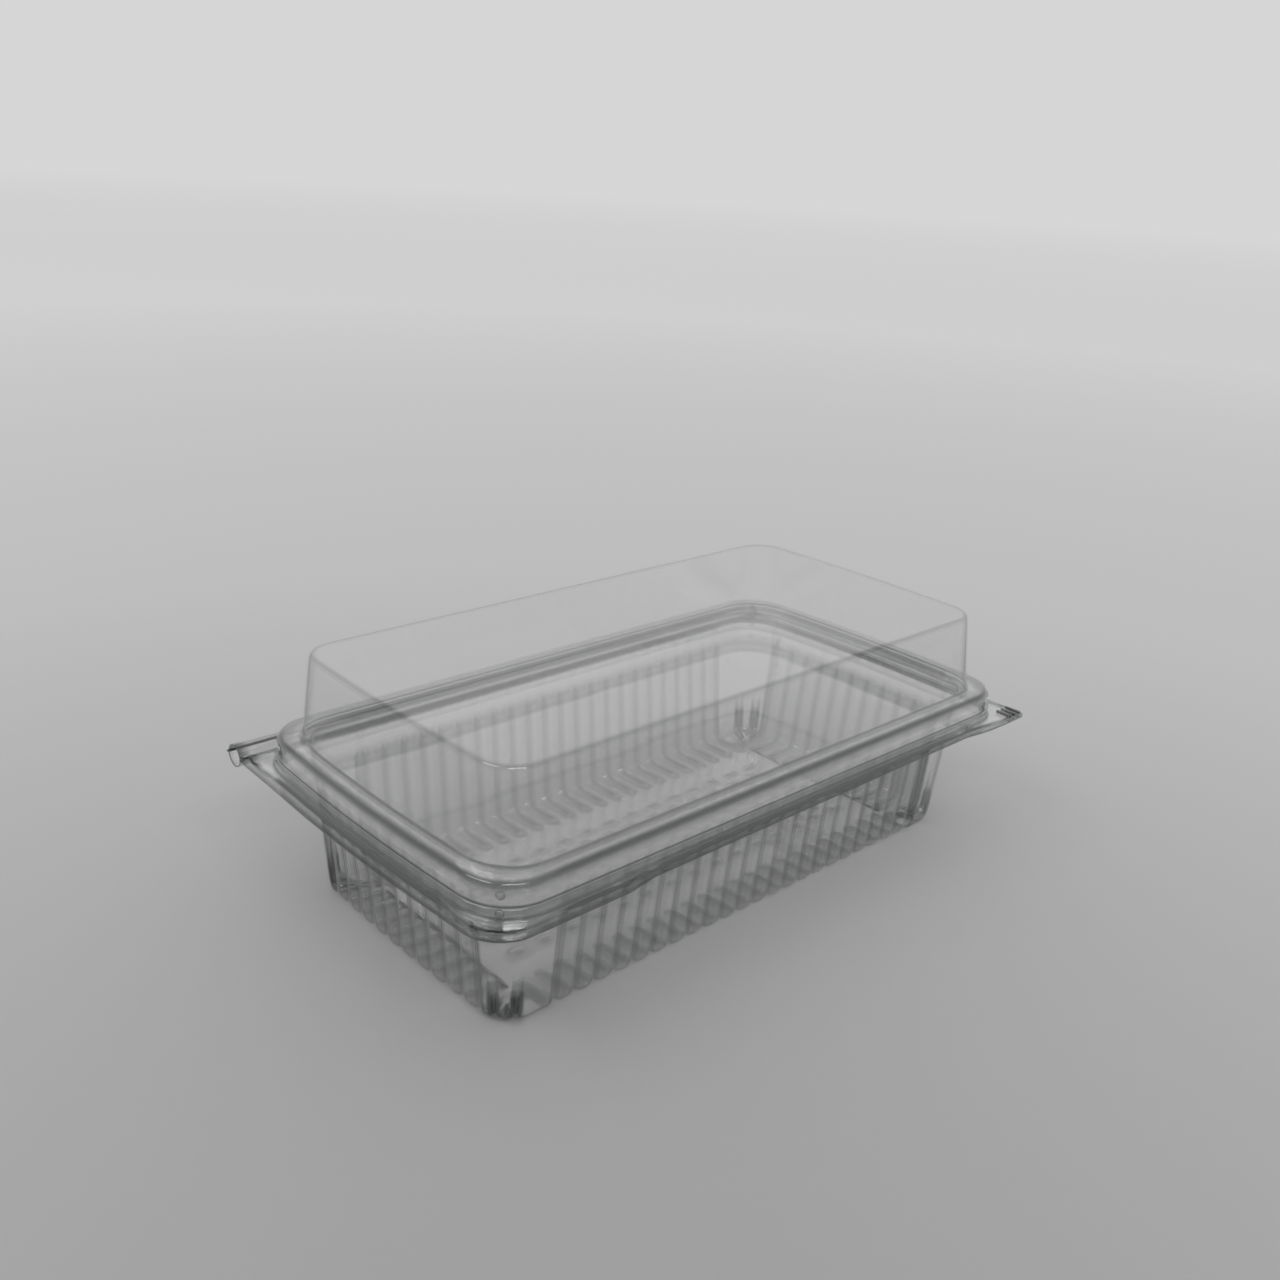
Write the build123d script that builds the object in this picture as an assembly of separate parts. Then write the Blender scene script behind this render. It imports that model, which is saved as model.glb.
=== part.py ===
"""A clear hinged bakery pack: a ribbed tray and a smooth domed lid, formed from one plastic film.

The origin is the middle of the tray's floor, where the pack stands.
+X runs along the pack, +Y points to the hinge and +Z up. The lid is modelled closed.
"""

import os
from math import atan2, cos, degrees, radians, sin, sqrt, tan

from build123d import *

# Film and fits
wall = 0.4
fit_gap = 0.35
sheet_gap = 0.3

# Tray body: its foot outline, its lean and its levels
foot_half_length = 86.8
foot_half_width = 41.6
foot_corner = 9.0
foot_bevel = 2.6
wall_lean = 5.4
flange_top = 37.2
rim_rise = 8.4
rim_width = 5.0
rim_corner = 12.0
rim_lean = 3.0
end_radius = 600.0

# Ribs: grooves pressed inwards, up each wall and in across the floor
rib_pitch = 6.4
rib_width = 3.2
rib_depth = 1.2
rib_top = 33.0
cutter_past = 2.0
bar_length = 13.0
bar_height = 1.2
bar_tip = 1.0
corner_bar_length = 10.0
corner_bar_width = 2.6
corner_bar_spread = 17.0
corner_bar_rise = 3.0

# Floor studs: low four sided points in staggered rows
stud_pitch = 9.0
stud_half_length = 2.2
stud_half_width = 1.6
stud_height = 0.7
stud_margin = 5.0

# Lid: skirt in two steps, ledge and dome
skirt_step_height = 2.9
skirt_step_out = 0.6
skirt_lean = 2.0
ledge_width = 4.9
dome_corner = 12.0
dome_height = 23.2
dome_lean = 6.4
roof_round = 2.0

# Flange round both sheets, with a wider pad at each front corner
side_flange = 4.2
front_flange = 2.6
front_corner = 13.0
pad_out = 1.5
pad_corner = 11.0
tab_corner = 3.0
left_pad_length = 38.0
right_pad_length = 17.0
right_pad_width = 14.0
pad_slope = 9.0
grip_count = 3
grip_pitch = 2.4
grip_length = 5.0
grip_width = 1.0
grip_height = 0.5

# Hinge: a half round bead in each sheet, beside the crease
bead_radius = 3.6
bead_land = 0.6
crease_gap = 0.2

# Snap buttons on the skirt's corners
button_radius = 1.1
button_rise = 0.45
button_root = 1.0


def end_at(half_length, across):
    """How far along a bowed end lies, at a distance across from its middle."""
    return half_length - end_radius + sqrt(end_radius**2 - across**2)


def outline(half_length, half_width, corner):
    """Plan outline: straight long sides, gently bowed ends and round corners."""
    side = end_at(half_length, half_width)
    right_front = (side, -half_width)
    right_back = (side, half_width)
    left_back = (-side, half_width)
    left_front = (-side, -half_width)
    edges = [
        Line(left_front, right_front),
        ThreePointArc(right_front, (half_length, 0), right_back),
        Line(right_back, left_back),
        ThreePointArc(left_back, (-half_length, 0), left_front),
    ]
    face = make_face(edges)
    return fillet(face.vertices(), corner)


def leaning_block(half_length, half_width, corner, bottom, top, lean):
    """Solid between two levels whose sides lean out towards the top, sized at its bottom."""
    face = Pos(0, 0, bottom) * outline(half_length, half_width, corner)
    return extrude(face, amount=top - bottom, dir=(0, 0, 1), taper=-lean)


def grown(half_length, half_width, corner, by):
    """The same outline, moved out by a distance."""
    return half_length + by, half_width + by, corner + by


def corner_middle(half_length, half_width, corner):
    """Middle of an outline's round corner, as distances from the outline's own middle."""
    back = half_width - corner
    across = half_length - end_radius + sqrt((end_radius - corner) ** 2 - back**2)
    return across, back


def corner_points(shape, turns, reach):
    """Places at a distance from each corner's middle, with the way each one faces."""
    across, back = corner_middle(*shape)
    places = []
    for side_x, side_y in ((1, 1), (-1, 1), (-1, -1), (1, -1)):
        for turn in turns:
            x = side_x * (across + reach * cos(radians(turn)))
            y = side_y * (back + reach * sin(radians(turn)))
            facing = degrees(atan2(side_y * sin(radians(turn)), side_x * cos(radians(turn))))
            places.append((x, y, facing))
    return places


def wall_out(height):
    """How far the tray's wall has leaned out at a height."""
    return height * tan(radians(wall_lean))


# Sizes that follow from the ones above
bevel_shrink = 2 - sqrt(2)
foot = (foot_half_length, foot_half_width, foot_corner)
rim_top = flange_top + rim_rise
rim_inner = grown(*foot, wall_out(rim_top))
rim_outer_top = (rim_inner[0] + rim_width, rim_inner[1] + rim_width, rim_corner)
rim_spread = rim_rise * tan(radians(rim_lean))
rim_outer = grown(*rim_outer_top, rim_spread)
lid_flange_bottom = flange_top + sheet_gap
lid_flange_top = lid_flange_bottom + wall
skirt_step = lid_flange_bottom + skirt_step_height
ledge_top = rim_top + sheet_gap + wall
skirt_foot = grown(*rim_outer, fit_gap + wall)
skirt_low = grown(*skirt_foot, skirt_step_out)
skirt_shrink = (ledge_top - lid_flange_bottom) * tan(radians(skirt_lean))
skirt_high = grown(*skirt_foot, -skirt_shrink)
dome_foot = (skirt_high[0] - ledge_width, skirt_high[1] - ledge_width, dome_corner)
roof_top = ledge_top + dome_height
side_reach = skirt_low[0] + side_flange
front_reach = skirt_low[1] + front_flange
crease_height = (flange_top + lid_flange_bottom) / 2
bead_middle = skirt_low[1] + bead_land + bead_radius
crease = bead_middle + bead_radius + crease_gap


def groove(length, width, top, rise, grow):
    """Cutter for one rib: up the wall, round the foot and in along the floor.

    Its local X points out through the wall, which it meets at the foot's edge.
    Growing it by the film's thickness gives the same rib on the inside.
    """
    depth = rib_depth + grow
    roof = rise + grow
    bend = foot_bevel + rib_depth - grow * bevel_shrink
    inner_end = -length - grow
    outer_end = wall_out(top) + cutter_past
    crown = top + grow + depth + cutter_past
    profile = Polyline(
        (inner_end, -cutter_past),
        (inner_end, roof),
        (-depth - bend, roof),
        (-depth + wall_out(roof + bend), roof + bend),
        (-depth + wall_out(top + grow), top + grow),
        (outer_end, crown),
        (outer_end, -cutter_past),
        close=True,
    )
    half = width / 2 + grow
    blank = extrude(Plane.XZ * make_face(profile), amount=half, both=True)
    tip = Polyline(
        (inner_end, half - bar_tip),
        (inner_end + bar_tip, half),
        (outer_end, half),
        (outer_end, -half),
        (inner_end + bar_tip, -half),
        (inner_end, bar_tip - half),
        close=True,
    )
    plan = Pos(0, 0, -cutter_past) * make_face(tip)
    return blank & extrude(plan, amount=crown + cutter_past)


def row(span, pitch):
    """Evenly spaced places either side of the middle, within a half span."""
    steps = int(span / pitch)
    return [pitch * step for step in range(-steps, steps + 1)]


def rib_places():
    """Each rib's place on the foot's outline, with the way its wall faces."""
    places = []
    long_span = foot_half_length - foot_corner - rib_width / 2
    short_span = foot_half_width - foot_corner
    for along in row(long_span, rib_pitch):
        places.append((along, -foot_half_width, -90))
        places.append((along, foot_half_width, 90))
    for along in row(short_span, rib_pitch):
        out = end_at(foot_half_length, along)
        turn = along / end_radius / radians(1)
        places.append((out, along, turn))
        places.append((-out, along, 180 - turn))
    return places


def rib_cutters(grow):
    """All rib and corner bar cutters, on the outside or grown for the inside."""
    rib = groove(bar_length, rib_width, rib_top, bar_height, grow)
    corner_top = foot_bevel + rib_depth + bar_height + corner_bar_rise
    short = groove(corner_bar_length, corner_bar_width, corner_top, bar_height, grow)
    cutters = [Pos(x, y, 0) * Rot(0, 0, turn) * rib for x, y, turn in rib_places()]
    turns = (45 - corner_bar_spread, 45 + corner_bar_spread)
    for x, y, turn in corner_points(foot, turns, foot_corner):
        cutters.append(Pos(x, y, 0) * Rot(0, 0, turn) * short)
    return cutters


def stud_places():
    """Staggered places of the floor's studs, inside the ring of rib ends."""
    margin = bar_length + stud_margin
    along = row(foot_half_length - margin - stud_half_length, stud_pitch)
    across = row(foot_half_width - margin - stud_half_width, stud_pitch)
    half = stud_pitch / 2
    between = [(x + half, y + half) for x in along[:-1] for y in across[:-1]]
    return [(x, y) for x in along for y in across] + between


def stud(grow):
    """Four sided point pressed up from the floor, or the same grown for the inside."""
    slope = stud_half_width / stud_height
    base = -wall
    rise = stud_height + grow - base
    half_y = rise * slope
    half_x = half_y * stud_half_length / stud_half_width
    corners = [(half_x, 0), (0, half_y), (-half_x, 0), (0, -half_y)]
    foot_points = [Vector(x, y, base) for x, y in corners]
    peak = Vector(0, 0, base + rise)
    faces = [make_face(Polyline(*foot_points, close=True))]
    for number in range(4):
        start = foot_points[number]
        end = foot_points[(number + 1) % 4]
        faces.append(make_face(Polyline(start, end, peak, close=True)))
    return Solid(Shell(faces))


def flange(bottom):
    """One sheet's flat flange, solid right across, with corner pads and the hinge strip."""
    inner = front_reach - front_corner
    outer = front_reach + pad_out
    side = end_at(side_reach, inner)
    left_end = -side + left_pad_length
    left_pad = Polyline(
        (-side, -inner),
        (-side, -outer),
        (left_end, -outer),
        (left_end + pad_slope, -front_reach),
        (left_end + pad_slope, -inner),
        close=True,
    )
    right_end = side - right_pad_length
    right_pad = Polyline(
        (side, -inner),
        (side, right_pad_width - outer + pad_slope),
        (side + pad_out, right_pad_width - outer),
        (side + pad_out, -outer),
        (right_end, -outer),
        (right_end - pad_slope, -front_reach),
        (right_end - pad_slope, -inner),
        close=True,
    )
    left_face = make_face(left_pad)
    left_face = fillet(left_face.vertices().sort_by_distance((-side, -outer))[0], pad_corner)
    right_face = make_face(right_pad)
    tip = right_face.vertices().sort_by_distance((side + pad_out, -outer))[0]
    right_face = fillet(tip, tab_corner)
    strip = Pos(0, inner) * Rectangle(
        2 * side, bead_middle + bead_radius - inner, align=(Align.CENTER, Align.MIN)
    )
    sheet = outline(side_reach, front_reach, front_corner) + left_face + right_face + strip
    return extrude(Pos(0, 0, bottom) * sheet, amount=wall)


def bead(level, up, radius):
    """Half round bar along the hinge, above or below a level."""
    length = 2 * end_at(side_reach, front_reach - front_corner)
    bar = Pos(0, bead_middle, level) * Rot(0, 90, 0) * Cylinder(radius, length)
    keep = Box(length, 2 * radius, radius, align=(Align.CENTER, Align.CENTER, Align.MIN))
    if up:
        return bar & Pos(0, bead_middle, level) * keep
    return bar & Pos(0, bead_middle, level - radius) * keep


def tray_block(bottom, top, by):
    """Solid of the tray's form with a 45 degree bevel at its foot, moved out by a distance."""
    bevel = foot_bevel + by * bevel_shrink
    bend = bottom + bevel
    low = grown(*foot, by - bevel + wall_out(bend))
    high = grown(*foot, by + wall_out(bend))
    return leaning_block(*low, bottom, bend, 45) + leaning_block(*high, bend, top, wall_lean)


def build_tray():
    """Ribbed tray with its hollow rim, flange and lower hinge bead."""
    body = tray_block(0, rim_top, 0) - rib_cutters(0)
    body = body - [Pos(x, y, 0) * stud(0) for x, y in stud_places()]
    cavity = tray_block(wall, rim_top + wall, -wall) - rib_cutters(wall)
    cavity = cavity - [Pos(x, y, 0) * stud(wall) for x, y in stud_places()]

    flange_under = flange_top - wall
    rim = leaning_block(*rim_outer, flange_under, rim_top, -rim_lean)
    rim_inside = leaning_block(*grown(*rim_outer, -wall), flange_under, rim_top - wall, -rim_lean)
    sheet = flange(flange_under)
    sheet = sheet + bead(flange_top, False, bead_radius)
    sheet = sheet - bead(flange_top, False, bead_radius - wall)
    collar = sheet + rim - rim_inside
    collar = collar - tray_block(0, rim_top + wall, -wall / 2)
    return body - cavity + collar


def buttons(shape, height):
    """Snap buttons on the four corners of one step of the skirt."""
    base = sqrt(button_radius**2 - (button_radius - button_rise) ** 2)
    cap = Rot(0, 90, 0) * Cone(base, base / 2, button_rise + button_root)
    face = shape[2] - (height - lid_flange_bottom) * tan(radians(skirt_lean))
    reach = face + (button_rise - button_root) / 2
    places = corner_points(shape, (45,), reach)
    return [Pos(x, y, height) * Rot(0, 0, turn) * cap for x, y, turn in places]


def build_lid():
    """Smooth dome with its ledge, two step skirt, flange and upper hinge bead."""
    dome = leaning_block(*dome_foot, ledge_top - wall, roof_top, -dome_lean)
    dome = fillet(dome.edges().group_by(Axis.Z)[-1], roof_round)
    hollow = leaning_block(*grown(*dome_foot, -wall), ledge_top - wall, roof_top - wall, -dome_lean)
    hollow = fillet(hollow.edges().group_by(Axis.Z)[-1], roof_round - wall)

    skirt = leaning_block(*skirt_foot, lid_flange_bottom, ledge_top, -skirt_lean)
    skirt_inside = leaning_block(
        *grown(*skirt_foot, -wall), lid_flange_bottom, ledge_top - wall, -skirt_lean
    )
    low = leaning_block(*skirt_low, lid_flange_bottom, skirt_step, -skirt_lean)
    low_inside = leaning_block(
        *grown(*skirt_low, -wall), lid_flange_bottom, skirt_step - wall, -skirt_lean
    )

    sheet = flange(lid_flange_bottom)
    sheet = sheet + bead(lid_flange_bottom, True, bead_radius)
    sheet = sheet - bead(lid_flange_bottom, True, bead_radius - wall)
    outside = sheet + low + skirt + dome
    for cap in buttons(skirt_foot, (skirt_step + ledge_top) / 2):
        outside = outside + cap
    for cap in buttons(skirt_low, (lid_flange_top + skirt_step - wall) / 2):
        outside = outside + cap
    inside = low_inside + skirt_inside + hollow
    lid = outside - inside

    top = lid_flange_top + grip_height
    tall = grip_height + wall / 2
    ridge = Box(grip_width, grip_length, tall, align=(Align.CENTER, Align.CENTER, Align.MAX))
    reach = front_reach + pad_out - grip_length / 2 - grip_width
    for number in range(grip_count):
        x = side_reach + pad_out - grip_pitch * (number + 1)
        lid = lid + Pos(x, -reach, top) * ridge
    return lid


os.makedirs("parts", exist_ok=True)
tray = build_tray()
lid = build_lid()
export_step(tray, "parts/tray.step")
export_step(lid, "parts/lid.step")
print("overall height", round(roof_top, 2))
print("flange half length", round(side_reach, 2), "front", round(front_reach, 2))
print("crease", round(crease, 3), round(crease_height, 3))
print("ribs", len(rib_places()), "studs", len(stud_places()))
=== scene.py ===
# %% [markdown]
# # A clear hinged bakery pack
#
# The real pack is one sheet of clear PET, heated and drawn over a mould. The lid is smooth, the tray is
# ribbed, and a bent line of film between two half round beads is the hinge. The solids come from the
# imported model, and this lesson dresses them in a film that is thin, soft at every bend and clear.

from math import cos, pi, radians, sin, sqrt, tan

import bpy
import numpy as np
from mathutils import Matrix, Vector


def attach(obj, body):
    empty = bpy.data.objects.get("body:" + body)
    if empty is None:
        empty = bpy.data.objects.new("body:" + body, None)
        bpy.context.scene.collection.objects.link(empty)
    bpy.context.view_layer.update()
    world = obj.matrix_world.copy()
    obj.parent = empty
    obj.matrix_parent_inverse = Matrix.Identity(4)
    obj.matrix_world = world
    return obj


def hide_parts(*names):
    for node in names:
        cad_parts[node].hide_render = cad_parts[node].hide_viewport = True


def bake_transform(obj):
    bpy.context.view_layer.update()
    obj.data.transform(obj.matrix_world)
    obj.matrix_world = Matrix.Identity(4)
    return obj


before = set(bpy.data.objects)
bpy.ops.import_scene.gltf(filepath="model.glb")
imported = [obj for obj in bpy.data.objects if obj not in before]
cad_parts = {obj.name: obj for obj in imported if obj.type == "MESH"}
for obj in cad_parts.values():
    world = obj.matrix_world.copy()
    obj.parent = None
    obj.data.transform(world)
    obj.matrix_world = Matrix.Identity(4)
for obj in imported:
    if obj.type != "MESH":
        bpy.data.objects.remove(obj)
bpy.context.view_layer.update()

# %% [markdown]
# The film is drawn from the same sizes as the solids. They are written in millimetres, since that is how
# a pack is measured, and turned to metres where an operator needs them. Heights are measured from the
# surface that the pack stands on. An outline is a rounded rectangle, written as half its length, half its
# width and the radius of its corners. The short ends are gently bowed, as part of a large circle.

# %% Sizes of the pack, in millimetres
mm = 0.001
wall = 0.4
foot = (86.8, 41.6, 9.0)
wall_lean = radians(5.4)
flange_top = 37.2
rim_top = 45.6
rim_inner = (91.11, 45.91, 13.3)
rim_outer = (96.55, 51.35, 12.4)
rim_outer_top = (96.11, 50.91, 12.0)
lid_flange_bottom = 37.5
skirt_step = 40.4
ledge_top = 46.3
roof_top = 69.5
skirt_foot = (97.3, 52.1, 13.2)
skirt_low = (97.9, 52.7, 13.8)
skirt_high = (96.99, 51.79, 12.9)
dome_foot = (92.09, 46.89, 12.0)
dome_lean = radians(6.4)
end_radius = 600.0
bow_reach = 42.3
print("pack height", roof_top, "mm, film", wall, "mm")

# %% [markdown]
# Blender's operators act on what is selected. The first helpers read where a piece's points and faces
# are, so that the next steps can choose them by place, as a hand would with a box selection.

# %% Helpers that choose points and faces
tiny = 0.01
small = 0.1


def select_vertices(piece, chosen):
    """Leaves a piece in edit mode with only the chosen vertices, and what lies between them, selected."""
    bpy.ops.object.mode_set(mode="EDIT")
    bpy.ops.mesh.select_mode(type="VERT")
    bpy.ops.mesh.select_all(action="DESELECT")
    bpy.ops.object.mode_set(mode="OBJECT")
    flags = np.zeros(len(piece.data.vertices), dtype=bool)
    flags[chosen] = True
    piece.data.vertices.foreach_set("select", flags)
    bpy.ops.object.mode_set(mode="EDIT")
    bpy.ops.mesh.select_mode(type="EDGE")
    bpy.ops.mesh.select_mode(type="VERT")


def select_faces(piece, chosen):
    """Leaves a piece in edit mode with only the chosen faces selected."""
    bpy.ops.object.mode_set(mode="EDIT")
    bpy.ops.mesh.select_mode(type="FACE")
    bpy.ops.mesh.select_all(action="DESELECT")
    bpy.ops.object.mode_set(mode="OBJECT")
    piece.data.polygons.foreach_set("select", chosen)
    bpy.ops.object.mode_set(mode="EDIT")


def points(piece):
    """All vertices of a piece, in millimetres."""
    bpy.ops.object.mode_set(mode="OBJECT")
    flat = np.empty(len(piece.data.vertices) * 3)
    piece.data.vertices.foreach_get("co", flat)
    return flat.reshape(-1, 3) / mm


def middles(piece):
    """The middle of each face of a piece, in millimetres."""
    bpy.ops.object.mode_set(mode="OBJECT")
    flat = np.empty(len(piece.data.polygons) * 3)
    piece.data.polygons.foreach_get("center", flat)
    return flat.reshape(-1, 3) / mm


def set_points(piece, places):
    """Puts the vertices of a piece at places in millimetres."""
    piece.data.vertices.foreach_set("co", (places * mm).ravel())
    piece.data.update()


print("places closer than", tiny, "mm count as the same")

# %% [markdown]
# The first outline of a skin is a plane with its corners bevelled as vertices, which gives true arcs.
# Every further outline is the last one extruded, and its points are then set round the middle of their
# own corner. Scaling the loop would be quicker, but it squeezes the arcs, and a skin made by boolean cuts
# has no rows of points at all. Here each corner's points stay in step from the floor to the flange.

# %% Helpers that draw a skin through outlines
corner_steps = 8
corner_sides = [(side_x, side_y) for side_x in (-1, 1) for side_y in (-1, 1)]


def new_piece(name):
    """Starts a piece as an empty mesh, ready for its first outline."""
    bpy.ops.object.select_all(action="DESELECT")
    bpy.ops.mesh.primitive_plane_add(size=mm)
    piece = bpy.context.object
    piece.name = name
    bpy.ops.object.mode_set(mode="EDIT")
    bpy.ops.mesh.select_all(action="SELECT")
    bpy.ops.mesh.delete(type="VERT")
    return piece


def corners(shape):
    """Middle and radius of the round corner at each end of an outline, by the signs of x and y."""
    half_length, half_width, radius = shape
    return {
        (side_x, side_y): (side_x * (half_length - radius), side_y * (half_width - radius), radius)
        for side_x, side_y in corner_sides
    }


def first_loop(piece, shape, height):
    """Makes the first outline from a plane with bevelled corners, and notes where each point lies."""
    half_length, half_width, radius = shape
    bpy.ops.object.mode_set(mode="EDIT")
    bpy.ops.mesh.primitive_plane_add(size=2 * mm, location=(0, 0, height * mm))
    bpy.ops.transform.resize(
        value=(half_length, half_width, 1), center_override=(0, 0, height * mm)
    )
    bpy.ops.mesh.bevel(offset=radius * mm, segments=corner_steps, affect="VERTICES")
    places = points(piece)
    side_x = np.sign(places[:, 0])
    side_y = np.sign(places[:, 1])
    east = np.abs(places[:, 0]) - half_length + radius
    north = np.abs(places[:, 1]) - half_width + radius
    return {"vertices": np.arange(len(places)), "x": side_x, "y": side_y, "turn": np.arctan2(north, east)}


def next_loop(piece, loop, places_of_corners, height):
    """Extrudes the last loop, with a lone face if it has one, and moves its points to the next outline."""
    before = points(piece)
    select_vertices(piece, loop["vertices"])
    bpy.ops.mesh.select_mode(type="EDGE")
    bpy.ops.mesh.extrude_region_move()
    places = points(piece)
    made = np.arange(len(before), len(places))
    apart = np.linalg.norm(places[made][:, None] - before[loop["vertices"]][None], axis=2)
    twin = apart.argmin(axis=1)
    new = {name: loop[name][twin] for name in ("x", "y", "turn")}
    new["vertices"] = made
    middle = np.array([places_of_corners[int(x), int(y)] for x, y in zip(new["x"], new["y"])])
    places[made, 0] = middle[:, 0] + new["x"] * middle[:, 2] * np.cos(new["turn"])
    places[made, 1] = middle[:, 1] + new["y"] * middle[:, 2] * np.sin(new["turn"])
    places[made, 2] = height
    set_points(piece, places)
    return new


def skin(piece, steps):
    """Draws a skin through outlines at their heights, from the first one on, and gives its last loop."""
    shape, height = steps[0]
    loop = first_loop(piece, shape, height)
    for shape, height in steps[1:]:
        loop = next_loop(piece, loop, corners(shape), height)
    return loop


def grown(shape, by):
    """An outline moved out by a distance, its corner kept round."""
    half_length, half_width, radius = shape
    return half_length + by, half_width + by, max(radius + by, wall)


print("outlines have", 4 * (corner_steps + 1), "points each")

# %% [markdown]
# Ribs, pads and bowed ends need more points than the outlines have. The skin is bisected for them, but
# only on faces chosen by their middles, so that a cut for a rib does not run on through the whole pack.
# The bow moves the points of the short ends in along a circle, by the same formula on every piece.

# %% Helpers that cut a skin and bow its ends
along_x = (1, 0, 0)
along_y = (0, 1, 0)
cut_reach = (80, 40)


def cut(piece, place, direction, test):
    """Cuts the faces whose middles pass a test, along a plane."""
    x, y, z = middles(piece).T
    select_faces(piece, test(x, y, z))
    bpy.ops.mesh.bisect(plane_co=Vector(place) * mm, plane_no=direction, threshold=tiny * mm)


def cut_across(piece, lowest, pitch):
    """Cuts the faces above a height at even steps, so that they can take the bow of the ends."""
    for number in range(round(-cut_reach[0] / pitch), round(cut_reach[0] / pitch)):
        cut(piece, ((number + 0.5) * pitch, 0, 0), along_x, lambda x, y, z: z > lowest)
    for number in range(round(-cut_reach[1] / pitch), round(cut_reach[1] / pitch)):
        cut(piece, (0, (number + 0.5) * pitch, 0), along_y, lambda x, y, z: z > lowest)


def bow_depth(y):
    """How far in the bowed ends lie, this far from the pack's middle line."""
    across = np.minimum(np.abs(y), bow_reach)
    return end_radius - np.sqrt(end_radius**2 - across**2)


def bow_ends(piece):
    """Bends the short ends into their gentle bow, which runs straight past the corners."""
    places = points(piece)
    share = np.clip(places[:, 0] / foot[0], -1, 1)
    places[:, 0] -= bow_depth(places[:, 1]) * share
    set_points(piece, places)


print("the ends are bowed by up to", round(float(bow_depth(bow_reach)), 2), "mm")

# %% [markdown]
# Both sheets end in the same flat flange: rounded at the front, with a wider pad at each front corner and
# a small square tab at the right one, and straight at the back. It is one more outline, with a radius of
# its own at each corner. The pads are cut into its edge and the edge between them is moved in.

# %% Flange with its pads
side_reach = 102.1
front_reach = 55.3
pad_out = 1.5
pad_reach = front_reach + pad_out
left_corner = 11.0
right_corner = 3.0
left_pad_end = -62.6
right_pad_end = 83.6
pad_slope = 9.0
tab_back = -42.8
bead_middle = 56.9
bead_inside = 3.2
bead_front = bead_middle - bead_inside
flange_corners = {
    (-1, -1): (left_corner - side_reach, left_corner - pad_reach, left_corner),
    (1, -1): (side_reach + pad_out - right_corner, right_corner - pad_reach, right_corner),
    (-1, 1): (wall - side_reach, bead_front - wall, wall),
    (1, 1): (side_reach - wall, bead_front - wall, wall),
}


def cut_pads(piece, height):
    """Cuts the flange where its edge changes direction."""
    front_cuts = (left_pad_end, left_pad_end + pad_slope, right_pad_end - pad_slope, right_pad_end)
    for place in front_cuts:
        cut(piece, (place, 0, 0), along_x, lambda x, y, z: (y < -rim_outer[1]) & (abs(z - height) < small))
    for place in (tab_back, tab_back + pad_slope):
        cut(piece, (0, place, 0), along_y, lambda x, y, z: (x > rim_outer[0]) & (abs(z - height) < small))


def shape_pads(piece, height):
    """Steps the flange's front and right edges in from the pads, with a short slope at each step."""
    places = points(piece)
    x, y, z = places.T
    level = np.abs(z - height) < tiny
    from_left = np.clip((x - left_pad_end) / pad_slope, 0, 1)
    from_right = np.clip((right_pad_end - x) / pad_slope, 0, 1)
    step = np.minimum(from_left, from_right)
    front = level & (y < tiny - pad_reach)
    places[front, 1] = pad_out * step[front] - pad_reach
    right = level & (x > side_reach - 2 * small) & (y > right_corner - pad_reach - tiny)
    tab = np.clip((y - tab_back) / pad_slope, 0, 1)
    places[right, 0] = side_reach + pad_out * (1 - tab[right])
    set_points(piece, places)


print("flange reaches", side_reach, "mm to the sides and", front_reach, "mm to the front")

# %% [markdown]
# The hinge bead is half a tube along the back of each flange, and on the real pack the lid's half stands
# on the tray's. A spun edge gives an even half circle in one step, where a bevelled box would need its
# back cut away. Known fault: a positive turn rolls this edge up and a negative one rolls it down, so the
# turns given below put the tray's half above its flange and the lid's half below, each on the other's
# side. Closed, the two still make a whole tube, but the films cross there.

# %% Hinge bead
bead_steps = 10


def spin_bead(piece, height, turn):
    """Rolls the flange's back edge into half a tube."""
    x, y, z = points(piece).T
    back = (y > bead_front - tiny) & (np.abs(z - height) < tiny)
    select_vertices(piece, np.flatnonzero(back))
    bpy.ops.mesh.select_mode(type="EDGE")
    bpy.ops.mesh.spin(
        steps=bead_steps, angle=turn, center=(0, bead_middle * mm, height * mm), axis=along_x
    )


print("bead of", 2 * (bead_inside + wall), "mm outside, in", bead_steps, "steps")

# %% [markdown]
# Hot film takes soft bends. Drawing thins it in places, but here it has one thickness. A subdivision
# rounds the bends, and a solidify adds the film on the outer side, so that the inside keeps its sizes.
# The film goes outwards only if the faces point outwards, so doubles are merged and normals turned first.

# %% Helpers that finish a film
level_band = 0.3
smooth_angle = radians(60)


def face_out(piece, height, z_sign):
    """Turns every face away from the pack's inside, judged by the faces at one height."""
    bpy.ops.object.mode_set(mode="EDIT")
    bpy.ops.mesh.select_mode(type="FACE")
    bpy.ops.mesh.select_all(action="SELECT")
    bpy.ops.mesh.remove_doubles(threshold=tiny * mm)
    bpy.ops.mesh.normals_make_consistent(inside=False)
    bpy.ops.object.mode_set(mode="OBJECT")
    level = [face for face in piece.data.polygons if abs(face.center.z - height * mm) < level_band * mm]
    if sum(face.normal.z for face in level) * z_sign < 0:
        bpy.ops.object.mode_set(mode="EDIT")
        bpy.ops.mesh.select_all(action="SELECT")
        bpy.ops.mesh.flip_normals()
        bpy.ops.object.mode_set(mode="OBJECT")


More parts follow.
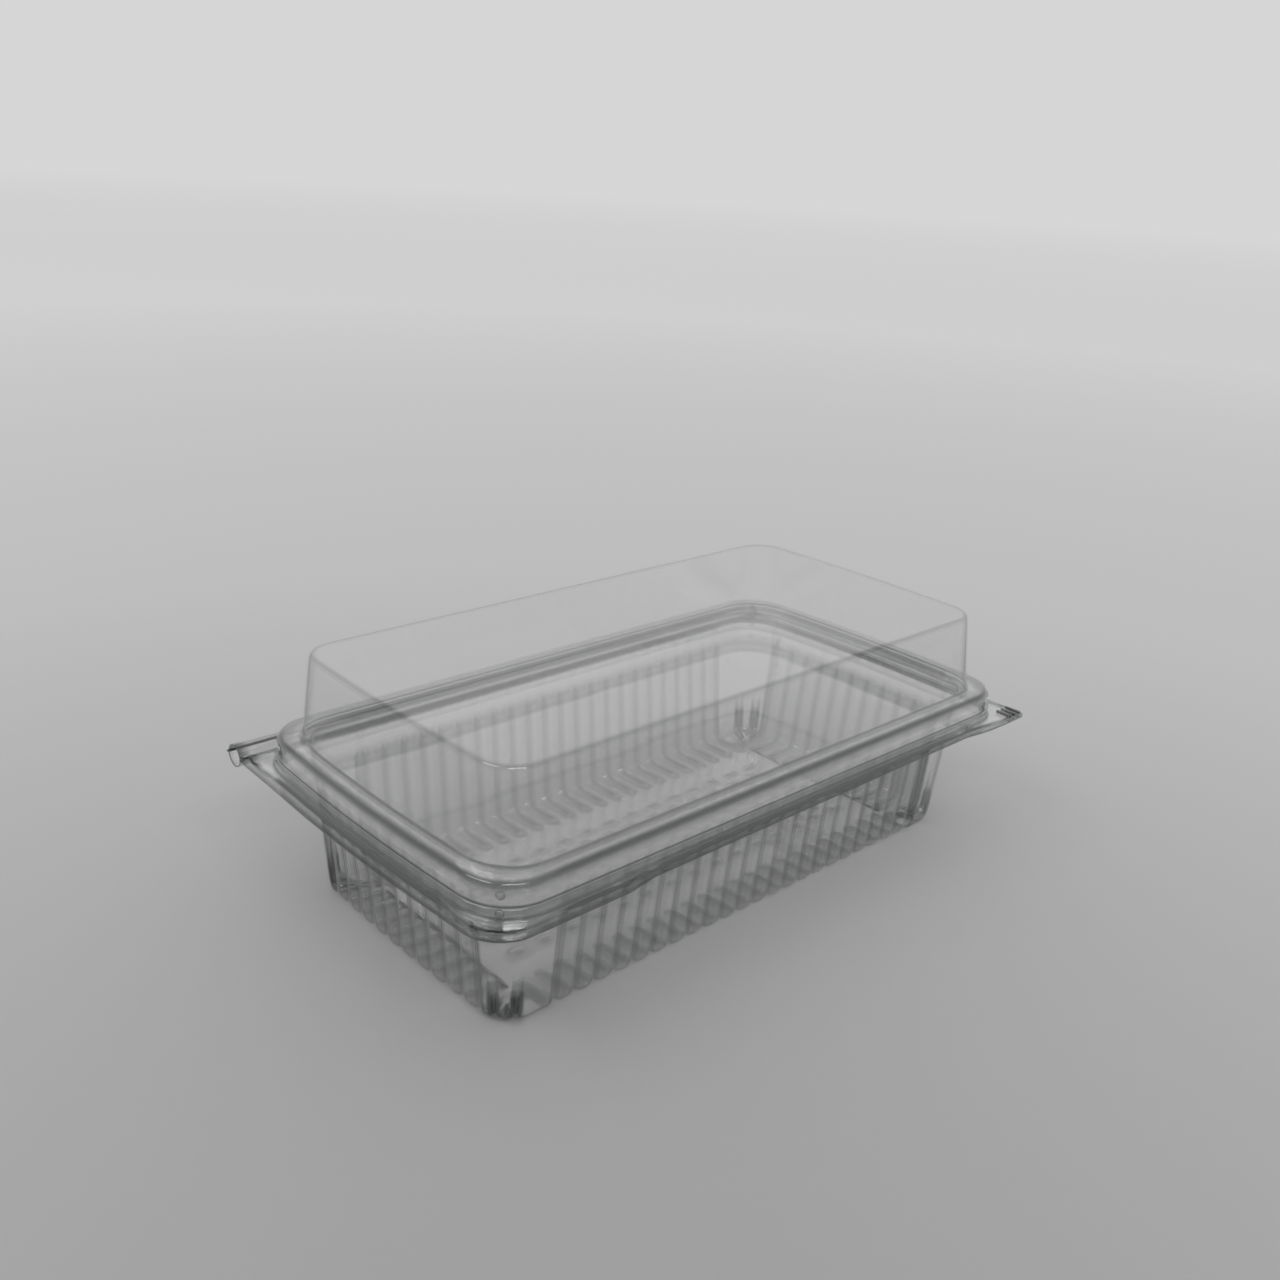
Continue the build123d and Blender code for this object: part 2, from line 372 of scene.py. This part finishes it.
def thicken(piece, levels):
    """Rounds a skin's bends and gives it the film's thickness on its outer side."""
    smooth = piece.modifiers.new("soft bends", "SUBSURF")
    smooth.levels = levels
    smooth.render_levels = levels
    smooth.boundary_smooth = "PRESERVE_CORNERS"
    smooth.use_limit_surface = False
    bpy.ops.object.modifier_apply(modifier=smooth.name)
    film = piece.modifiers.new("film", "SOLIDIFY")
    film.thickness = wall * mm
    film.offset = 1
    bpy.ops.object.modifier_apply(modifier=film.name)
    bpy.ops.object.shade_smooth_by_angle(angle=smooth_angle)
    places = points(piece)
    print(piece.name, "triangles", sum(len(face.vertices) - 2 for face in piece.data.polygons))
    print(piece.name, "from", places.min(0).round(2), "to", places.max(0).round(2))


print("each film is", wall, "mm thick, on its outer side")

# %% [markdown]
# The tray's inner side is drawn from the middle of the floor out: the floor, a soft foot, the leaning
# wall, over the hollow rim and down to the flange. Loops lie close together where the film bends, since
# the subdivision rounds a bend over the distance to the next loop. Extruding an outline that still has
# its face keeps that face and carries a copy of it on to every next loop. Both are taken out here,
# because the floor with its studs is a grid of its own and the tray is open at the top.

# %% Tray skin
floor_edge = 15.0
bar_end = 12.7
bar_slope = 0.7
rib_top = 33.0
corner_bar_top = 8.0
tray_film = new_piece("tray_film")


def wall_inner(height):
    """How far the inner side of the tray's wall stands out of the foot at a height."""
    return height * tan(wall_lean) - wall


# The first numbers are distances in from the foot's outline, and the pairs add the height of the foot's
# soft bend there.
tray_steps = [(grown(foot, -inset), wall) for inset in (floor_edge, bar_end + bar_slope, bar_end, 6.0, 3.4)]
tray_steps += [(grown(foot, -inset), height) for inset, height in ((1.5, 0.95), (0.5, 2.0))]
wall_levels = (3.6, corner_bar_top, corner_bar_top + 1.2, 20.0, rib_top - bar_slope, rib_top + bar_slope)
for height in (*wall_levels, rim_top - 0.5):
    tray_steps.append((grown(foot, wall_inner(height)), height))
tray_steps += [
    (grown(rim_inner, -0.15), rim_top),
    (grown(rim_outer_top, -0.4), rim_top),
    (rim_outer_top, rim_top - 0.45),
    (rim_outer, flange_top + 0.4),
    (grown(rim_outer, 0.3), flange_top),
]
tray_edge = skin(tray_film, tray_steps)
bpy.ops.object.mode_set(mode="EDIT")
bpy.ops.mesh.select_mode(type="FACE")
x, y, z = middles(tray_film).T
select_faces(tray_film, (np.abs(x) < 1) & (np.abs(y) < 1))
bpy.ops.mesh.delete(type="ONLY_FACE")
next_loop(tray_film, tray_edge, flange_corners, flange_top)
print("tray loops", len(tray_steps) + 1, "faces", len(middles(tray_film)))

# %% [markdown]
# Ribs stiffen the thin walls. Each one runs down a wall, round the foot and in across the floor as a bar.
# Four cuts a rib mark it out: the two inner ones hold its flat top and the two outer ones its slopes.
# Separate rib bodies would be quicker to place, but they would leave lines inside clear plastic.

# %% Rib cuts
rib_pitch = 6.4
rib_flat = 1.0
rib_edge = 1.7
long_ribs = 11
short_ribs = 5
cut_top = rib_top + bar_slope
bar_start = foot[0] - bar_end - bar_slope
in_front = foot[1] - bar_end - bar_slope - 2
in_side = bar_start - small
rib_edges = (-rib_edge, -rib_flat, rib_flat, rib_edge)


def on_long_walls(x, y, z):
    """Faces of the long walls up to the ribs' tops, and of the floor beside them."""
    return (abs(y) > in_front) & (z < cut_top)


def on_short_walls(x, y, z):
    """Faces of the short walls up to the ribs' tops, and of the floor beside them."""
    return (abs(x) > in_side) & (z < cut_top)


for place in (bar_start, bar_start + bar_slope):
    for side in (-1, 1):
        cut(tray_film, (side * place, 0, 0), along_x, on_long_walls)
for number in range(-long_ribs, long_ribs + 1):
    for edge in rib_edges:
        cut(tray_film, (number * rib_pitch + edge, 0, 0), along_x, on_long_walls)
for number in range(-short_ribs, short_ribs + 1):
    for edge in rib_edges:
        cut(tray_film, (0, number * rib_pitch + edge, 0), along_y, on_short_walls)
cut_across(tray_film, cut_top, rib_pitch)
cut_pads(tray_film, flange_top)
print("faces after the rib cuts", len(middles(tray_film)))

# %% [markdown]
# At each corner of the floor two short bars fan out from the middle of the round corner. They are marked
# out as the ribs are, with planes turned to the bar's own direction.

# %% Corner bars
corner_bar_start = 0.5
corner_bar_edge = 1.4
corner_bar_flat = 0.8
corner_bar_turns = (radians(28), radians(62))
corner_cut_width = 4
corner_cut_top = 20
corner_x = foot[0] - foot[2]
corner_y = foot[1] - foot[2]


def bar_place(x, y, side_x, side_y, turn):
    """Distances along and aside of a corner bar, from the middle of its round corner."""
    east = x * side_x - corner_x
    north = y * side_y - corner_y
    return east * cos(turn) + north * sin(turn), north * cos(turn) - east * sin(turn)


def near_bar(x, y, z, side_x, side_y, turn):
    """Faces round a corner bar, past its edges and its top."""
    along, aside = bar_place(x, y, side_x, side_y, turn)
    return (along > corner_bar_start) & (abs(aside) < corner_cut_width) & (z < corner_cut_top)


for side_x, side_y in corner_sides:
    for turn in corner_bar_turns:
        across = Vector((-sin(turn) * side_x, cos(turn) * side_y, 0))
        for edge in (-corner_bar_edge, -corner_bar_flat, corner_bar_flat, corner_bar_edge):
            start = Vector((corner_x * side_x, corner_y * side_y, 0)) + across * edge
            cut(tray_film, start, across, lambda x, y, z: near_bar(x, y, z, side_x, side_y, turn))
print("faces after the corner cuts", len(middles(tray_film)))

# %% [markdown]
# The mould pushes the ribs into the tray. The faces between each pair of inner cuts are chosen and pushed
# in along their normals, so the same push makes a groove in the wall and a raised bar on the floor.

# %% Press the ribs in
rib_depth = 1.2
face_out(tray_film, wall, -1)
x, y, z = middles(tray_film).T
near_x = np.abs(x - np.round(x / rib_pitch) * rib_pitch) < rib_flat
near_y = np.abs(y - np.round(y / rib_pitch) * rib_pitch) < rib_flat
long_rib = near_x & (np.abs(y) > foot[1] - bar_end) & (np.abs(x) < (long_ribs + 0.5) * rib_pitch)
short_rib = near_y & (np.abs(x) > foot[0] - bar_end) & (np.abs(y) < (short_ribs + 0.5) * rib_pitch)
ribs = (long_rib | short_rib) & (z < rib_top)
for side_x, side_y in corner_sides:
    for turn in corner_bar_turns:
        along, aside = bar_place(x, y, side_x, side_y, turn)
        ribs |= (along > corner_bar_start) & (np.abs(aside) < corner_bar_flat) & (z < corner_bar_top)
select_faces(tray_film, ribs)
bpy.ops.transform.shrink_fatten(value=-rib_depth * mm)
print("rib faces", int(ribs.sum()), "lowest point at", points(tray_film)[:, 2].min().round(2))

# %% [markdown]
# The floor carries staggered low studs, which stiffen it and keep the food off the film. They are raised
# points of one fine grid: three in a row for each stud, the middle one higher. A separate cone for each
# would meet the film at a hard line. The grid is then joined to the floor's first loop by a fill.

# %% Floor with its studs
stud_cell = 1.5
stud_pitch = 9.0
stud_lift = 0.78
stud_peak = 0.5
stud_reach = (65, 20)
patch_cells = (94, 34)
patch_half = (patch_cells[0] * stud_cell / 2, patch_cells[1] * stud_cell / 2)
floor_half = (foot[0] - floor_edge + tiny, foot[1] - floor_edge + tiny)
before = len(points(tray_film))
bpy.ops.object.mode_set(mode="EDIT")
bpy.ops.mesh.select_all(action="DESELECT")
bpy.ops.mesh.primitive_grid_add(
    x_subdivisions=patch_cells[0], y_subdivisions=patch_cells[1], size=2 * mm,
    location=(0, 0, wall * mm),
)
bpy.ops.transform.resize(value=(*patch_half, 1), center_override=(0, 0, wall * mm))
x, y, z = points(tray_film).T
on_patch = np.arange(len(x)) >= before
in_reach = on_patch & (np.abs(x) < stud_reach[0]) & (np.abs(y) < stud_reach[1])


def at_stud(shift):
    """Points of the patch that lie this far along x from the middle of a staggered stud."""
    column = np.round((x - shift) / (stud_pitch / 2))
    line = np.round(y / (stud_pitch / 2))
    over = np.abs(x - shift - column * stud_pitch / 2) < small
    level = np.abs(y - line * stud_pitch / 2) < small
    return in_reach & over & level & ((column + line) % 2 == 0)


peaks = at_stud(0)
select_vertices(tray_film, np.flatnonzero(peaks | at_stud(stud_cell) | at_stud(-stud_cell)))
bpy.ops.transform.translate(value=(0, 0, stud_lift * mm))
select_vertices(tray_film, np.flatnonzero(peaks))
bpy.ops.transform.translate(value=(0, 0, stud_peak * mm))
patch_edge = on_patch & ((np.abs(x) > patch_half[0] - tiny) | (np.abs(y) > patch_half[1] - tiny))
floor_loop = ~on_patch & (np.abs(x) < floor_half[0]) & (np.abs(y) < floor_half[1])
select_vertices(tray_film, np.flatnonzero(patch_edge | floor_loop))
bpy.ops.mesh.select_mode(type="EDGE")
bpy.ops.mesh.fill()
print("studs", int(peaks.sum()), "floor loop points", int(floor_loop.sum()))

# %% [markdown]
# The flange, the bow and the bead come after the ribs, so that ribs and studs are placed on straight
# walls and bow with them. One level of subdivision is enough for the tray, which has many cuts already.

# %% Finish the tray skin
shape_pads(tray_film, flange_top)
bow_ends(tray_film)
spin_bead(tray_film, flange_top, pi)
face_out(tray_film, wall, -1)
thicken(tray_film, 1)

# %% [markdown]
# The lid is smooth: a flat, very slightly crowned roof, a leaning dome, a ledge that rests over the
# tray's rim, a skirt with one step and the same flange. Its inner side is drawn from the roof down and
# the film is added outside. Known fault: the copied face is left in here, so a flat sheet of film closes
# the lid's mouth. The real pack has none. It crosses the tray's rim, and because the flange then has no
# free edge, the subdivision rounds it in by one to two millimetres.

# %% Lid skin
lid_film = new_piece("lid_film")


def dome_inner(height):
    """The dome's inner outline at a height."""
    return grown(dome_foot, -wall - (height - ledge_top) * tan(dome_lean))


roof_inner = roof_top - wall
ledge_inner = ledge_top - wall
step_inner = skirt_step - wall
lid_cut_pitch = 10.0
lid_steps = [
    ((48.0, 12.0, 5.0), roof_inner),
    ((72.0, 29.0, 8.0), roof_inner - 0.05),
    (grown(dome_inner(roof_inner), -2.0), roof_inner - 0.1),
    (grown(dome_inner(roof_inner), -0.6), roof_inner - 0.15),
    (grown(dome_inner(roof_inner), -0.05), roof_inner - 0.65),
    (dome_inner(roof_inner - 1.8), roof_inner - 1.8),
    (dome_inner(ledge_top + 1.4), ledge_top + 1.4),
    (grown(dome_inner(ledge_top), 0.1), ledge_inner + 0.35),
    (grown(dome_inner(ledge_top), 0.5), ledge_inner),
    (grown(skirt_high, -wall - 0.4), ledge_inner),
    (grown(skirt_high, -wall), ledge_inner - 0.4),
    (grown(skirt_foot, -wall - 0.08), step_inner + 0.35),
    (grown(skirt_foot, -wall), step_inner + 0.05),
    (grown(skirt_low, -wall - 0.1), step_inner),
    (grown(skirt_low, -wall), step_inner - 0.3),
    (grown(skirt_low, -wall), lid_flange_bottom + 0.35),
    (grown(skirt_low, 0.1), lid_flange_bottom),
]
lid_edge = skin(lid_film, lid_steps)
next_loop(lid_film, lid_edge, flange_corners, lid_flange_bottom)
cut_across(lid_film, 0, lid_cut_pitch)
cut_pads(lid_film, lid_flange_bottom)
shape_pads(lid_film, lid_flange_bottom)
bow_ends(lid_film)
spin_bead(lid_film, lid_flange_bottom, -pi)
face_out(lid_film, roof_inner, 1)
thicken(lid_film, 2)

# %% [markdown]
# Two small snap buttons sit one above the other on each corner of the skirt. Each is a flattened sphere
# set half into the film, which gives a round foot without cutting the skin.

# %% Snap buttons
button_rise = 0.45
button_radius = 1.1
button_levels = ((skirt_foot, 43.35), (skirt_low, 39.2))
diagonal = pi / 4
buttons = []
for shape, height in button_levels:
    for (side_x, side_y), (middle_x, middle_y, radius) in corners(shape).items():
        reach = (radius - wall / 2) * cos(diagonal)
        drop = end_radius - sqrt(end_radius**2 - bow_reach**2)
        x = middle_x + side_x * (reach - drop)
        y = middle_y + side_y * reach
        bpy.ops.mesh.primitive_uv_sphere_add(
            segments=20, ring_count=10, radius=mm, location=(x * mm, y * mm, height * mm),
            rotation=(0, 0, side_x * side_y * diagonal),
        )
        button = bpy.context.object
        button.scale = (button_rise + wall / 2, button_radius, button_radius)
        bpy.ops.object.transform_apply(location=True, rotation=True, scale=True)
        buttons.append(button)
print("snap buttons", len(buttons))

# %% [markdown]
# Three short ridges on the right tab give the thumb a grip. Each is a bevelled block with its lower half
# in the film. Ridges and buttons are one with the lid on the real pack, so they are joined to it.

# %% Grip ridges
grip_count = 3
grip_pitch = 2.4
grip_length = 5.0
grip_width = 1.0
grip_height = 0.5
grip_round = 0.2
grip_inset = 1.0
lid_top = lid_flange_bottom + wall
ridges = []
for number in range(grip_count):
    x = side_reach - grip_pitch * (number + 1)
    y = grip_inset + grip_length / 2 - pad_reach
    bpy.ops.mesh.primitive_cube_add(size=mm, location=(x * mm, y * mm, lid_top * mm))
    ridge = bpy.context.object
    ridge.scale = (grip_width, grip_length, 2 * grip_height)
    bpy.ops.object.transform_apply(location=True, rotation=True, scale=True)
    bpy.ops.object.mode_set(mode="EDIT")
    bpy.ops.mesh.bevel(offset=grip_round * mm, segments=2, affect="EDGES")
    bpy.ops.object.mode_set(mode="OBJECT")
    ridges.append(ridge)
bpy.ops.object.select_all(action="DESELECT")
for extra in buttons + ridges:
    extra.select_set(True)
lid_film.select_set(True)
bpy.context.view_layer.objects.active = lid_film
bpy.ops.object.join()
bpy.ops.object.shade_smooth_by_angle(angle=smooth_angle)
print("grip ridges", len(ridges), "joined to the lid with the buttons")

# %% [markdown]
# The hinge is the film itself, bent along a line. It is a narrow strip between the ends of the two half
# tubes. It bends between the two halves when the lid opens, so it is cut across for the fold.

# %% Hinge strip
bead_back = bead_middle + bead_inside + wall
strip_low = flange_top - small
strip_high = lid_flange_bottom + small
strip_middle = (strip_low + strip_high) / 2
strip_inset = 1.5
hinge_length = 2 * (side_reach - strip_inset)
bpy.ops.object.select_all(action="DESELECT")
bpy.ops.mesh.primitive_cube_add(size=1, location=(0, (bead_back - wall / 2) * mm, strip_middle * mm))
hinge_film = bpy.context.object
hinge_film.name = "hinge_film"
hinge_film.scale = (hinge_length * mm, wall * mm, (strip_high - strip_low) * mm)
bpy.ops.object.transform_apply(location=True, rotation=True, scale=True)
bpy.ops.object.mode_set(mode="EDIT")
for step in (-small, 0, small):
    bpy.ops.mesh.select_all(action="SELECT")
    bpy.ops.mesh.bisect(
        plane_co=(0, 0, (strip_middle + step) * mm), plane_no=(0, 0, 1), threshold=tiny * mm
    )
bpy.ops.object.mode_set(mode="OBJECT")
print("hinge strip", len(hinge_film.data.polygons), "faces")

# %% [markdown]
# Where film turns a tight bend it acts as a thin lens, and the bend reads as a dark line. Light that
# passes straight through a transparent shader cannot show that, so each piece carries an attribute with
# how tightly it bends at each point: the turn of the normal along an edge, over the edge's length. The
# film's material paints the dark line from it, as painted shade.

# %% Mark the bends
tightest_bend = 1.3
shortest_edge = 0.5
film_pieces = (tray_film, lid_film, hinge_film)


def mark_bends(piece):
    """Stores how tightly a piece bends at each point, from 0 for flat to 1 for the tightest bends."""
    mesh = piece.data
    places = points(piece)
    normals = np.empty(len(mesh.vertices) * 3)
    mesh.vertices.foreach_get("normal", normals)
    normals = normals.reshape(-1, 3)
    ends = np.empty(len(mesh.edges) * 2, dtype=np.int64)
    mesh.edges.foreach_get("vertices", ends)
    near, far = ends.reshape(-1, 2).T
    length = np.linalg.norm(places[near] - places[far], axis=1)
    turned = np.linalg.norm(normals[near] - normals[far], axis=1)
    bend = turned / np.maximum(length, shortest_edge)
    tightest = np.zeros(len(places))
    np.maximum.at(tightest, near, bend)
    np.maximum.at(tightest, far, bend)
    mark = mesh.attributes.new("bend", "FLOAT", "POINT")
    mark.data.foreach_set("value", np.clip(tightest / tightest_bend, 0, 1).astype(np.float32))
    print(piece.name, "tightest bend", round(float(tightest.max()), 2), "per mm")


for piece in film_pieces:
    mark_bends(piece)

# %% [markdown]
# Colours are written as they are seen on screen and turned to the linear values that shaders add up. One
# helper adds a node with its settings and links, so that a material reads as a list of what it is made of.

# %% Colours and one helper for nodes
def colour(code):
    """Turns a hex colour as seen on screen into the linear values that a shader needs."""
    parts = [int(code[place:place + 2], 16) / 255 for place in (1, 3, 5)]
    linear = [part / 12.92 if part <= 0.04045 else ((part + 0.055) / 1.055) ** 2.4 for part in parts]
    return (*linear, 1)


def add(tree, kind, sockets=None, stops=(), **options):
    """Adds a node, sets its options, fills its sockets with values or links, and its ramp with stops."""
    node = tree.nodes.new(kind)
    for name, value in options.items():
        setattr(node, name, value)
    for name, value in (sockets or {}).items():
        if isinstance(value, bpy.types.NodeSocket):
            tree.links.new(value, node.inputs[name])
        else:
            node.inputs[name].default_value = value
    for number, (position, code) in enumerate(stops):
        ramp = node.color_ramp.elements
        stop = ramp[number] if number < 2 else ramp.new(position)
        stop.position = position
        stop.color = colour(code)
    return node


def empty_material(name):
    """A material with a node tree that holds nothing yet."""
    material = bpy.data.materials.new(name)
    material.use_nodes = True
    material.node_tree.nodes.clear()
    return material


print("mid grey #808080 is", round(colour("#808080")[0], 3), "to a shader")

# %% [markdown]
# PET is clear and glossy, with an index of about 1.575. Drawn sheet this thin does not bend what is seen
# through it, so light passes straight on and only the gloss comes back. A glass shader would bend light
# at every wall and turn noisy and dark. Each wall has a front and a back face. The gloss is given to
# the front one alone, raised to what two faces return, which is 2 F / (1 + F) for a Fresnel share F. At a
# slant the film is made greyer: partly because more of it is crossed, and partly as painted shade for
# the dark edges that refraction gives. Along a tight bend a painted dark line is added, as painted shade
# for the bend's lens effect.

# %% Clear PET film
pet_index = 1.575
ripple_size = 28 * mm
ripple_height = 0.4 * mm


def thermoformed_pet():
    """Clear PET sheet, drawn hot over a mould: glossy, colourless, greyer edge on, partly by painted shade,
    and with a painted dark line along tight bends.
    """
    material = empty_material("thermoformed clear PET")
    tree = material.node_tree
    # Drawing leaves long, low waves in the sheet, which break up its reflections.
    place = add(tree, "ShaderNodeTexCoord")
    ripple = add(
        tree, "ShaderNodeTexNoise",
        {"Vector": place.outputs["Object"], "Scale": 1 / ripple_size, "Detail": 1.0},
    )
    wave = add(
        tree, "ShaderNodeBump",
        {"Height": ripple.outputs["Fac"], "Strength": 0.5, "Distance": ripple_height},
    )
    gloss = add(
        tree, "ShaderNodeBsdfGlossy",
        {"Color": colour("#ffffff"), "Roughness": 0.04, "Normal": wave.outputs["Normal"]},
    )
    # Painted shade: the film's see-through colour greys towards edge on, partly for the longer path through
    # the film and partly for the dark edges that refraction gives.
    slant = add(tree, "ShaderNodeLayerWeight", {"Blend": 0.5})
    slant_grey_and_painted_shade = add(
        tree, "ShaderNodeValToRGB", {"Fac": slant.outputs["Facing"]},
        stops=((0, "#fefefe"), (0.6, "#fcfcfc"), (0.88, "#e2e3e3"), (1, "#666869")),
    )
    # Painted shade: a dark line in the see-through colour along tight bends, for the bent film's lens
    # effect.
    bend = add(tree, "ShaderNodeAttribute", attribute_name="bend")
    line = add(
        tree, "ShaderNodeValToRGB", {"Fac": bend.outputs["Fac"]},
        stops=((0.15, "#ffffff"), (1, "#aeb0b1")),
    )
    # A Mix node has its colours on sockets 6 and 7, and gives their product on output 2.
    shade = add(
        tree, "ShaderNodeMix",
        {"Factor": 1.0, 6: slant_grey_and_painted_shade.outputs["Color"], 7: line.outputs["Color"]},
        data_type="RGBA", blend_type="MULTIPLY",
    )
    through = add(tree, "ShaderNodeBsdfTransparent", {"Color": shade.outputs[2]})
    fresnel = add(tree, "ShaderNodeFresnel", {"IOR": pet_index, "Normal": wave.outputs["Normal"]})
    double = add(tree, "ShaderNodeMath", {0: fresnel.outputs["Fac"], 1: 2.0}, operation="MULTIPLY")
    above = add(tree, "ShaderNodeMath", {0: fresnel.outputs["Fac"], 1: 1.0}, operation="ADD")
    both = add(tree, "ShaderNodeMath", {0: double.outputs[0], 1: above.outputs[0]}, operation="DIVIDE")
    side = add(tree, "ShaderNodeNewGeometry")
    front = add(tree, "ShaderNodeMath", {0: 1.0, 1: side.outputs["Backfacing"]}, operation="SUBTRACT")
    share = add(tree, "ShaderNodeMath", {0: both.outputs[0], 1: front.outputs[0]}, operation="MULTIPLY")
    film = add(
        tree, "ShaderNodeMixShader",
        {0: share.outputs[0], 1: through.outputs[0], 2: gloss.outputs[0]},
    )
    add(tree, "ShaderNodeOutputMaterial", {"Surface": film.outputs[0]})
    return material


pet = thermoformed_pet()
for piece in film_pieces:
    piece.data.materials.clear()
    piece.data.materials.append(pet)
print("film material", pet.name, "on", len(film_pieces), "pieces")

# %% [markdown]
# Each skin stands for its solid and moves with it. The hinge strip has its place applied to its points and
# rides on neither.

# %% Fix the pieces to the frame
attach(tray_film, "tray")
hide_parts("tray")
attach(lid_film, "lid")
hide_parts("lid")
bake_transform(hinge_film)
print("tray skin rides on tray, lid skin on lid, hinge strip between them")

# %% [markdown]
# The ground is plain pale card. Its colour is painted darkest before the pack and lighter away from it,
# up to the pale backdrop: painted shade that stands in for the fall of the studio light across the card.
# A ramp on the distance from one point of the ground does this, and it stays with the ground when the
# camera moves.

# %% Ground
view_turn = radians(-43.82)
ahead = Vector((-sin(view_turn), cos(view_turn), 0))
darkest_back = 0.25
painted_shade_reach = 5.0
ground_size = 12
bpy.ops.object.select_all(action="DESELECT")
bpy.ops.mesh.primitive_plane_add(size=ground_size, location=(0, 0, 0))
ground = bpy.context.object
ground.name = "ground"


def pale_card():
    """Matt card: no gloss, with painted shade that is darkest at a point before the pack and paler with
    distance from it.
    """
    material = empty_material("matt pale card")
    tree = material.node_tree
    place = add(tree, "ShaderNodeTexCoord")
    away = add(
        tree, "ShaderNodeVectorMath",
        {0: place.outputs["Object"], 1: ahead * -darkest_back}, operation="DISTANCE",
    )
    span = add(tree, "ShaderNodeMapRange", {"Value": away.outputs["Value"], "From Max": painted_shade_reach})
    # Painted shade: these stops darken the card towards a point before the pack, for the fall of the studio
    # light.
    painted_shade_stops = (
        (0, "#868686"), (0.05, "#9b9b9b"), (0.1, "#adadad"), (0.3, "#c8c8c8"), (1, "#d6d6d6"),
    )
    shade = add(tree, "ShaderNodeValToRGB", {"Fac": span.outputs["Result"]}, stops=painted_shade_stops)
    card = add(tree, "ShaderNodeBsdfDiffuse", {"Color": shade.outputs["Color"]})
    add(tree, "ShaderNodeOutputMaterial", {"Surface": card.outputs[0]})
    return material


ground.data.materials.append(pale_card())
print("ground", ground.dimensions.x, "m wide")

# %% [markdown]
# An even white sky lights the pack at a plain level. The camera, and the light that the film mirrors or
# lets through, see the sky as the pale backdrop instead, so the backdrop is never made by more light.

# %% Sky
scene = bpy.context.scene
world = bpy.data.worlds.new("pale sky")
scene.world = world
world.use_nodes = True
sky = world.node_tree
sky.nodes.clear()
path = add(sky, "ShaderNodeLightPath")
plain = add(sky, "ShaderNodeBackground", {"Color": colour("#ffffff"), "Strength": 1.0})
seen = add(sky, "ShaderNodeBackground", {"Color": colour("#d6d6d6"), "Strength": 1.0})
seen_or_mirrored = add(
    sky, "ShaderNodeMath",
    {0: path.outputs["Is Camera Ray"], 1: path.outputs["Is Glossy Ray"]}, operation="MAXIMUM",
)
backdrop = add(
    sky, "ShaderNodeMath",
    {0: seen_or_mirrored.outputs[0], 1: path.outputs["Is Transmission Ray"]}, operation="MAXIMUM",
)
both = add(
    sky, "ShaderNodeMixShader",
    {0: backdrop.outputs[0], 1: plain.outputs[0], 2: seen.outputs[0]},
)
add(sky, "ShaderNodeOutputWorld", {"Surface": both.outputs[0]})
print("sky", world.name)

# %% [markdown]
# Two soft lamps add shape: a wide one past the left end, and a narrow one that draws glints on the
# bends. Light crosses many walls of film on its way, so Cycles is allowed more bounces than by default.

# %% Lamps
lamp_aim = Vector((0, 0, 0.04))


def soft_lamp(name, place, width, depth, power):
    """A wide rectangular lamp, aimed at the middle of the pack."""
    data = bpy.data.lights.new(name, "AREA")
    data.shape = "RECTANGLE"
    data.size = width
    data.size_y = depth
    data.energy = power
    lamp = bpy.data.objects.new(name, data)
    scene.collection.objects.link(lamp)
    lamp.location = place
    lamp.rotation_euler = (lamp_aim - Vector(place)).to_track_quat("-Z", "Y").to_euler()


soft_lamp("wide lamp", (-1.1, 0.3, 1.4), 1.2, 0.5, 5)
soft_lamp("edge lamp", (-0.5, -1.0, 1.1), 1.0, 0.12, 6)
scene.cycles.transparent_max_bounces = 64
scene.cycles.max_bounces = 16
print("lamps", [lamp.name for lamp in bpy.data.lights])

# %% [markdown]
# The camera stands where the photograph was taken from. Its place comes from a fit of the pack's
# outlines to the picture: how far round, how high, how far away and how much it leans.

# %% Camera
view_height = radians(20.99)
view_roll = radians(3.3)
view_distance = 352.28
look_at = Vector((-8.91, 0, 67.91))
focal_pixels = 1295.95
picture_pixels = 1280
sensor = 36.0
back = Vector((sin(view_turn) * cos(view_height), -cos(view_turn) * cos(view_height), sin(view_height)))
right = (-back).cross(Vector((0, 0, 1))).normalized()
up = right.cross(-back)
level = right * cos(view_roll) + up * sin(view_roll)
upright = up * cos(view_roll) - right * sin(view_roll)
lens = bpy.data.cameras.new("camera")
lens.sensor_width = sensor
lens.lens = focal_pixels / picture_pixels * sensor
lens.clip_start = 0.01
camera = bpy.data.objects.new("camera", lens)
scene.collection.objects.link(camera)
camera_at = (look_at + back * view_distance) * mm
camera.matrix_world = Matrix.Translation(camera_at) @ Matrix((level, upright, back)).transposed().to_4x4()
scene.camera = camera
scene.view_settings.view_transform = "Standard"
print("lens", round(lens.lens, 2), "mm at", [round(value, 3) for value in camera_at])
